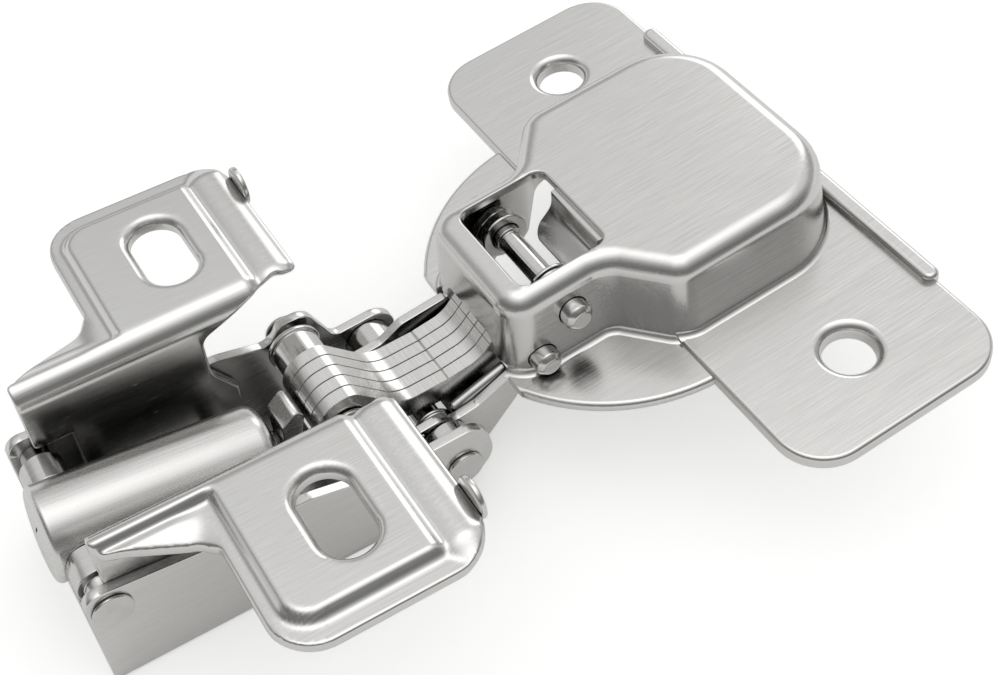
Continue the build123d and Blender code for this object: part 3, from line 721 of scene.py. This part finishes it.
def springLeg(side):
    # round wire lying over the link's cheek, from the coil to the cup's front pin
    back, front = Vector(leg["back"]), Vector(leg["front"])
    run = (front - back).length
    profile = [(0, 0)] + roundedRim(leg["radius"], 0, leg["backRound"], -1)
    profile += roundedRim(leg["radius"], run, leg["frontRound"], 1) + [(0, run)]
    place = Matrix.Translation(back) @ (front - back).to_track_quat("Z", "Y").to_matrix().to_4x4()
    shape = outward(placed(turned(profile, 32), Matrix.Diagonal((1, side, 1, 1)) @ place))
    finishPiece(toObject("link_wire_" + handOf(side), shape), cup["place"], "springWire", "outer_link",
                ["spring_leg_" + handOf(side)])


def armCollar(side):
    # a flanged collar beside the pack of profiles
    steps = collar["near"] if side < 0 else collar["far"]
    ends = [(collar["bore"], steps[-1][0]), (collar["bore"], steps[0][0])]
    shape = turned([ends[1]] + [(r, y) for y, r in steps] + ends, 56)
    x, z = collar["pivot"]
    outward(placed(shape, moved(x, 0, z) @ Matrix.Diagonal((1, side, 1, 1)) @ along))
    finishPiece(toObject("arm_collar_" + handOf(side), shape), cup["place"], "turnedPin", "base",
                ["arm_spring_" + handOf(side)], soft=0.07, angle=30)


damperShell()
for side in (1, -1):
    woundSpring(side)
    springLeg(side)
    armCollar(side)
print("turned parts drawn")


# Arm body: folded channel with ears for both pivots
armBody = {
    "inner": 8.55, "thick": 1.0, "rear": -19.4, "floor": -18.1, "rimRound": 0.14,
    "webFront": 6.0, "webLift": 0.42, "webShort": 0.15, "webRound": 0.12,
    # the cheeks' upper outline from the rear forwards, then the ears, the far one cut lower at the outer pivot
    "back": [(-19.4, -18.1, 0.6), (-19.4, -6.0, 1.5), (-9.0, -7.2, 4.0), (0.4, -7.5, 3.0), (5.2, -8.7, 1.2),
             (6.6, -6.75, 1.4), (9.3, -6.75, 1.6)],
    "nearEar": [(11.2, -9.3, 1.0), (17.2, -9.0, 2.3), (18.0, -13.6, 2.4), (15.4, -16.3, 2.4),
                (-4.0, -18.1, 3.0)],
    "farEar": [(11.6, -11.2, 1.0), (17.4, -10.7, 2.2), (18.0, -13.6, 2.2), (15.4, -16.3, 2.4),
               (-4.0, -18.1, 3.0)],
    "bores": ((7.15, -8.65, 1.23), (14.83, -13.55, 1.28), (-17.35, -8.6, 1.33)),
}


def foldedBody():
    b = armBody
    near = platePart(b["back"] + b["nearEar"], -b["inner"] - b["thick"], b["thick"], b["rimRound"])
    far = platePart(b["back"] + b["farEar"], b["inner"], b["thick"], b["rimRound"])
    web = bmesh.new()
    half = b["inner"] + b["thick"] - b["webShort"]
    block(web, moved((b["webFront"] + b["rear"]) / 2, 0, b["floor"] + b["webLift"]),
          (b["webFront"] - b["rear"], 2 * half, b["thick"]))
    roundEdges(web, web.edges[:], b["webRound"])
    piece = combine(toObject("folded_body", near), [toObject("far", far), toObject("web", web)], "UNION")
    piece = combine(piece, pinHoles(b["bores"], 56), "DIFFERENCE")
    finishPiece(piece, Matrix.Identity(4), "satinNickelSheet", "base", ["arm_body"], sharp=35)


# Outer link: two cheeks and the web between them
outerLink = {
    "inner": 4.95, "thick": 0.95, "rimRound": 0.12, "webSunk": 0.3,
    # below the line between the pins, then up round the body's pivot, in the cup's frame
    "under": [(-19.6, 5.6, 1.2), (-17.5, 6.5, 1.6), (-15.75, 5.0, 1.6), (-16.78, 2.64, 1.2),
              (-20.51, -1.18, 3.0), (-24.3, -4.9, 3.0), (-29.3, -9.34, 1.4), (-33.21, -8.22, 1.4),
              (-36.4, -5.6, 1.6), (-36.2, -1.95, 1.6), (-31.9, -1.95, 1.2)],
    "nearTop": [(-30.4, -3.1, 1.2), (-28.0, -2.9, 2.0), (-24.2, -1.5, 0.6)],
    "farTop": [(-31.0, -1.6, 1.0), (-29.4, -0.85, 1.0), (-24.3, -0.7, 0.5)],
    "web": [(-24.64, -5.12, 0), (-27.63, -8.04, 0.5), (-29.01, -9.04, 0), (-29.36, -8.13, 0),
            (-27.98, -7.13, 0.5), (-25.32, -4.43, 0)],
    "rearPin": (-17.9, 4.4, 1.4), "frontPin": (-21.6, 1.0, 1.42), "swingStep": 0.21, "swingSteps": 8,
    # the body's pivot and the places it wanders to in its long hole
    "pivot": (-32.0, -4.6, 1.36),
    "wander": ((0, 0), (-1.0, -0.05), (-2.4, 0.25), (-2.72, 0.75), (-2.1, 0.98), (-0.8, 0.55)),
}


def foldedLink():
    k = outerLink
    near = platePart(k["under"] + k["nearTop"], -k["inner"] - k["thick"], k["thick"], k["rimRound"])
    far = platePart(k["under"] + k["farTop"], k["inner"], k["thick"], k["rimRound"])
    web = platePart(k["web"], -k["inner"] - k["webSunk"], 2 * (k["inner"] + k["webSunk"]), k["rimRound"])
    piece = combine(toObject("folded_link", near), [toObject("far", far), toObject("web", web)], "UNION")
    x, z, r = k["pivot"]
    holes = [k["rearPin"], k["frontPin"]] + [(x + dx, z + dz, r) for dx, dz in k["wander"]]
    # the front cup pin swings round the rear one, past the cheeks
    (rearX, rearZ, rearR), (frontX, frontZ, frontR) = k["rearPin"], k["frontPin"]
    swing, start = math.hypot(frontX - rearX, frontZ - rearZ), math.atan2(frontZ - rearZ, frontX - rearX)
    for i in range(1, k["swingSteps"] + 1):
        turn = start - k["swingStep"] * i
        holes.append((rearX + swing * math.cos(turn), rearZ + swing * math.sin(turn), frontR))
    piece = combine(piece, pinHoles(holes, 36), "DIFFERENCE")
    finishPiece(piece, cup["place"], "satinNickelSheet", "outer_link", ["outer_link"], sharp=35)


# Laminated arm: five blanked profiles side by side
leaf = {
    # from the foot's eye over the top of the gooseneck to the cup's eye, and back below
    "outline": [(-42.0, -1.15, 2.88), (-42.0, 4.65, 2.88), (-37.75, 4.65, 1.7), (-33.9, -0.2, 3.0),
                (-29.3, -0.5, 5.0), (-25.9, -0.3, 2.6), (-23.6, 1.75, 1.2), (-22.4, 2.85, 0.8),
                (-19.65, 2.95, 1.93), (-19.8, -0.95, 1.8), (-23.2, -2.1, 1.5), (-25.8, -3.0, 2.0),
                (-28.4, -3.0, 2.0), (-31.6, -2.75, 2.0), (-34.4, -2.2, 2.0), (-37.0, -1.15, 1.5)],
    "thick": 1.3, "gap": 0.075, "count": 5, "rim": 0.035, "bores": ((-39.1, 1.2, 1.25), (-21.6, 1.0, 1.35)),
    # lines scribed over the pack: distance along it, height, lean, depth
    "scribed": ((-29.21, -0.47, 2, 0.13), (-41.35, 3.55, -38, 0.06), (-40.9, 3.98, -32, 0.05),
                (-35.2, 1.55, 48, 0.05), (-31.6, -0.42, 6, 0.035), (-27.4, -0.42, -2, 0.035),
                (-25.5, 0.02, -40, 0.05), (-24.6, 0.85, -43, 0.05)),
    "toolLong": 3, "toolAt": 0.6,   # the cutting tools' length across a leaf, and their middle in it
}


def laminatedArm():
    m = leaf
    first = -(m["count"] * m["thick"] + (m["count"] - 1) * m["gap"]) / 2
    for number in range(1, m["count"] + 1):
        low = first + (number - 1) * (m["thick"] + m["gap"])
        middle = low + m["toolAt"]
        piece = toObject("arm_profile_" + str(number), platePart(m["outline"], low, m["thick"], m["rim"], 14))
        tools = pinHoles(m["bores"], 48, m["toolLong"], middle)
        for x, z, lean, depth in m["scribed"]:
            line = bmesh.new()
            # a square bar on its corner cuts a v
            block(line, moved(x, middle, z) @ spun(lean + 45, "Y"), (depth * 1.41, m["toolLong"], depth * 1.41))
            tools.append(toObject("line", line))
        piece = combine(piece, tools, "DIFFERENCE")
        finishPiece(piece, cup["place"], "shearedProfile", "arm",
                    ["arm_leaf_" + str(number)], sharp=30)


foldedBody()
foldedLink()
laminatedArm()
print("body folded, arm stacked")


# Floor, light and camera. Each sky is (height of the direction, brightness), from straight down to straight up.
stage = {
    "floorZ": -18.25, "floorSize": 4000, "paper": "#e9e9e8",
    "lift": 0.45, "liftInMetal": 0.35,   # the paper's own glow where it is seen, and its share in reflections
    "nearSky": [(0.0, 0.9), (0.05, 0.5), (0.14, 0.2), (0.45, 0.2), (0.62, 0.32), (0.78, 0.6), (0.9, 1.15),
                (0.97, 1.6), (1.0, 1.7)],
    "farSky": [(0.0, 1.0), (0.12, 0.85), (0.3, 0.42), (0.52, 0.5), (0.67, 0.8), (0.77, 0.84), (0.84, 0.84),
               (0.91, 1.15), (0.97, 1.7), (1.0, 1.7)],
    "farWay": (0.45, 0.89, 0), "farBlend": 0.18,
    "panelWay": (0.644, 0.583, 0.495), "panelEdge": (0.945, 0.985), "panel": 1.6, "soft": 0.8,
}
view = {
    "at": (-0.019877, -0.07862, 0.090744), "right": (0.85449, -0.5172, -0.04862),
    "up": (0.41663, 0.6265, 0.65869), "back": (-0.31023, -0.5831, 0.75089),
    "sensor": 36, "lens": 52.65, "shiftX": 0.0239, "shiftY": 0.0047, "near": 0.002,
}


def seenIn(tree, metalShare):
    # 1 where the camera sees it or sees it through glass, and a share of that in metal's reflections
    path = addNode(tree, "ShaderNodeLightPath")
    inMetal = addNode(tree, "ShaderNodeMath", {"operation": "MULTIPLY", 1: metalShare},
                      {0: path.outputs["Is Glossy Ray"]})
    seen = addNode(tree, "ShaderNodeMath", {"operation": "MAXIMUM"},
                   {0: path.outputs["Is Camera Ray"], 1: inMetal.outputs[0]})
    return addNode(tree, "ShaderNodeMath", {"operation": "MAXIMUM"},
                   {0: seen.outputs[0], 1: path.outputs["Is Transmission Ray"]})


def paperFloor():
    shape = bmesh.new()
    bmesh.ops.create_grid(shape, x_segments=1, y_segments=1, size=stage["floorSize"] / 2 * mm)
    bmesh.ops.translate(shape, verts=shape.verts, vec=(0, 0, stage["floorZ"] * mm))
    floor = toObject("floor", shape)
    # matt white paper, whose own glow keeps it white behind the object's shadow
    material, tree = blankMaterial("paleStudioPaper")
    matt = addNode(tree, "ShaderNodeBsdfDiffuse", {"Color": colour(stage["paper"])})
    lift = addNode(tree, "ShaderNodeMath", {"operation": "MULTIPLY", 1: stage["lift"]},
                   {0: seenIn(tree, stage["liftInMetal"]).outputs[0]})
    glow = addNode(tree, "ShaderNodeEmission", {"Color": (1, 1, 1, 1)}, {"Strength": lift.outputs[0]})
    total = addNode(tree, "ShaderNodeAddShader", {}, {0: matt.outputs[0], 1: glow.outputs[0]})
    addNode(tree, "ShaderNodeOutputMaterial", {}, {"Surface": total.outputs[0]})
    floor.data.materials.append(material)


def studioSky():
    # a pale room: bright overhead, white paper low down, and a darker side behind the camera
    world = bpy.data.worlds.new("studio")
    world.use_nodes = True
    tree = world.node_tree
    tree.nodes.clear()
    way = addNode(tree, "ShaderNodeTexCoord").outputs["Generated"]
    height = addNode(tree, "ShaderNodeSeparateXYZ", {}, {0: way})
    skies = []
    for steps in (stage["nearSky"], stage["farSky"]):
        ramp = addNode(tree, "ShaderNodeValToRGB", {}, {0: height.outputs[2]})
        stops = ramp.color_ramp.elements
        stops.remove(stops[0])
        stops[0].position, stops[0].color = steps[0][0], [steps[0][1]] * 3 + [1]
        for at, level in steps[1:]:
            stops.new(at).color = [level] * 3 + [1]
        skies.append(ramp.outputs[0])
    away = addNode(tree, "ShaderNodeVectorMath", {"operation": "DOT_PRODUCT", 1: stage["farWay"]}, {0: way})
    side = addNode(tree, "ShaderNodeMapRange", {"From Min": -stage["farBlend"], "From Max": stage["farBlend"]},
                   {0: away.outputs["Value"]})
    room = addNode(tree, "ShaderNodeMix", {"data_type": "RGBA"}, {0: side.outputs[0], 6: skies[0], 7: skies[1]})
    # one bright panel low on the far right, which lights the crests that face it
    panel = addNode(tree, "ShaderNodeVectorMath", {"operation": "DOT_PRODUCT", 1: stage["panelWay"]}, {0: way})
    edge, full = stage["panelEdge"]
    glow = addNode(tree, "ShaderNodeMapRange",
                   {"interpolation_type": "SMOOTHSTEP", "From Min": edge, "From Max": full,
                    "To Max": stage["panel"]}, {0: panel.outputs["Value"]})
    lit = addNode(tree, "ShaderNodeVectorMath", {"operation": "ADD"}, {0: room.outputs[2], 1: glow.outputs[0]})
    shown = addNode(tree, "ShaderNodeBackground", {"Strength": 1.0}, {"Color": lit.outputs[0]})
    soft = addNode(tree, "ShaderNodeBackground", {"Color": (1, 1, 1, 1), "Strength": stage["soft"]})
    choice = addNode(tree, "ShaderNodeMixShader", {},
                     {0: seenIn(tree, 1.0).outputs[0], 1: soft.outputs[0], 2: shown.outputs[0]})
    addNode(tree, "ShaderNodeOutputWorld", {}, {"Surface": choice.outputs[0]})
    bpy.context.scene.world = world


def studioCamera():
    camera = bpy.data.cameras.new("camera")
    camera.sensor_width = view["sensor"]
    camera.lens = view["lens"]
    camera.shift_x, camera.shift_y = view["shiftX"], view["shiftY"]
    camera.clip_start = view["near"]
    holder = bpy.data.objects.new("camera", camera)
    bpy.context.scene.collection.objects.link(holder)
    turn = Matrix((view["right"], view["up"], view["back"])).transposed()
    holder.matrix_world = Matrix.Translation(view["at"]) @ turn.to_4x4()
    bpy.context.scene.camera = holder


paperFloor()
studioSky()
studioCamera()
bpy.context.scene.view_settings.view_transform = "Standard"
print("stage ready")
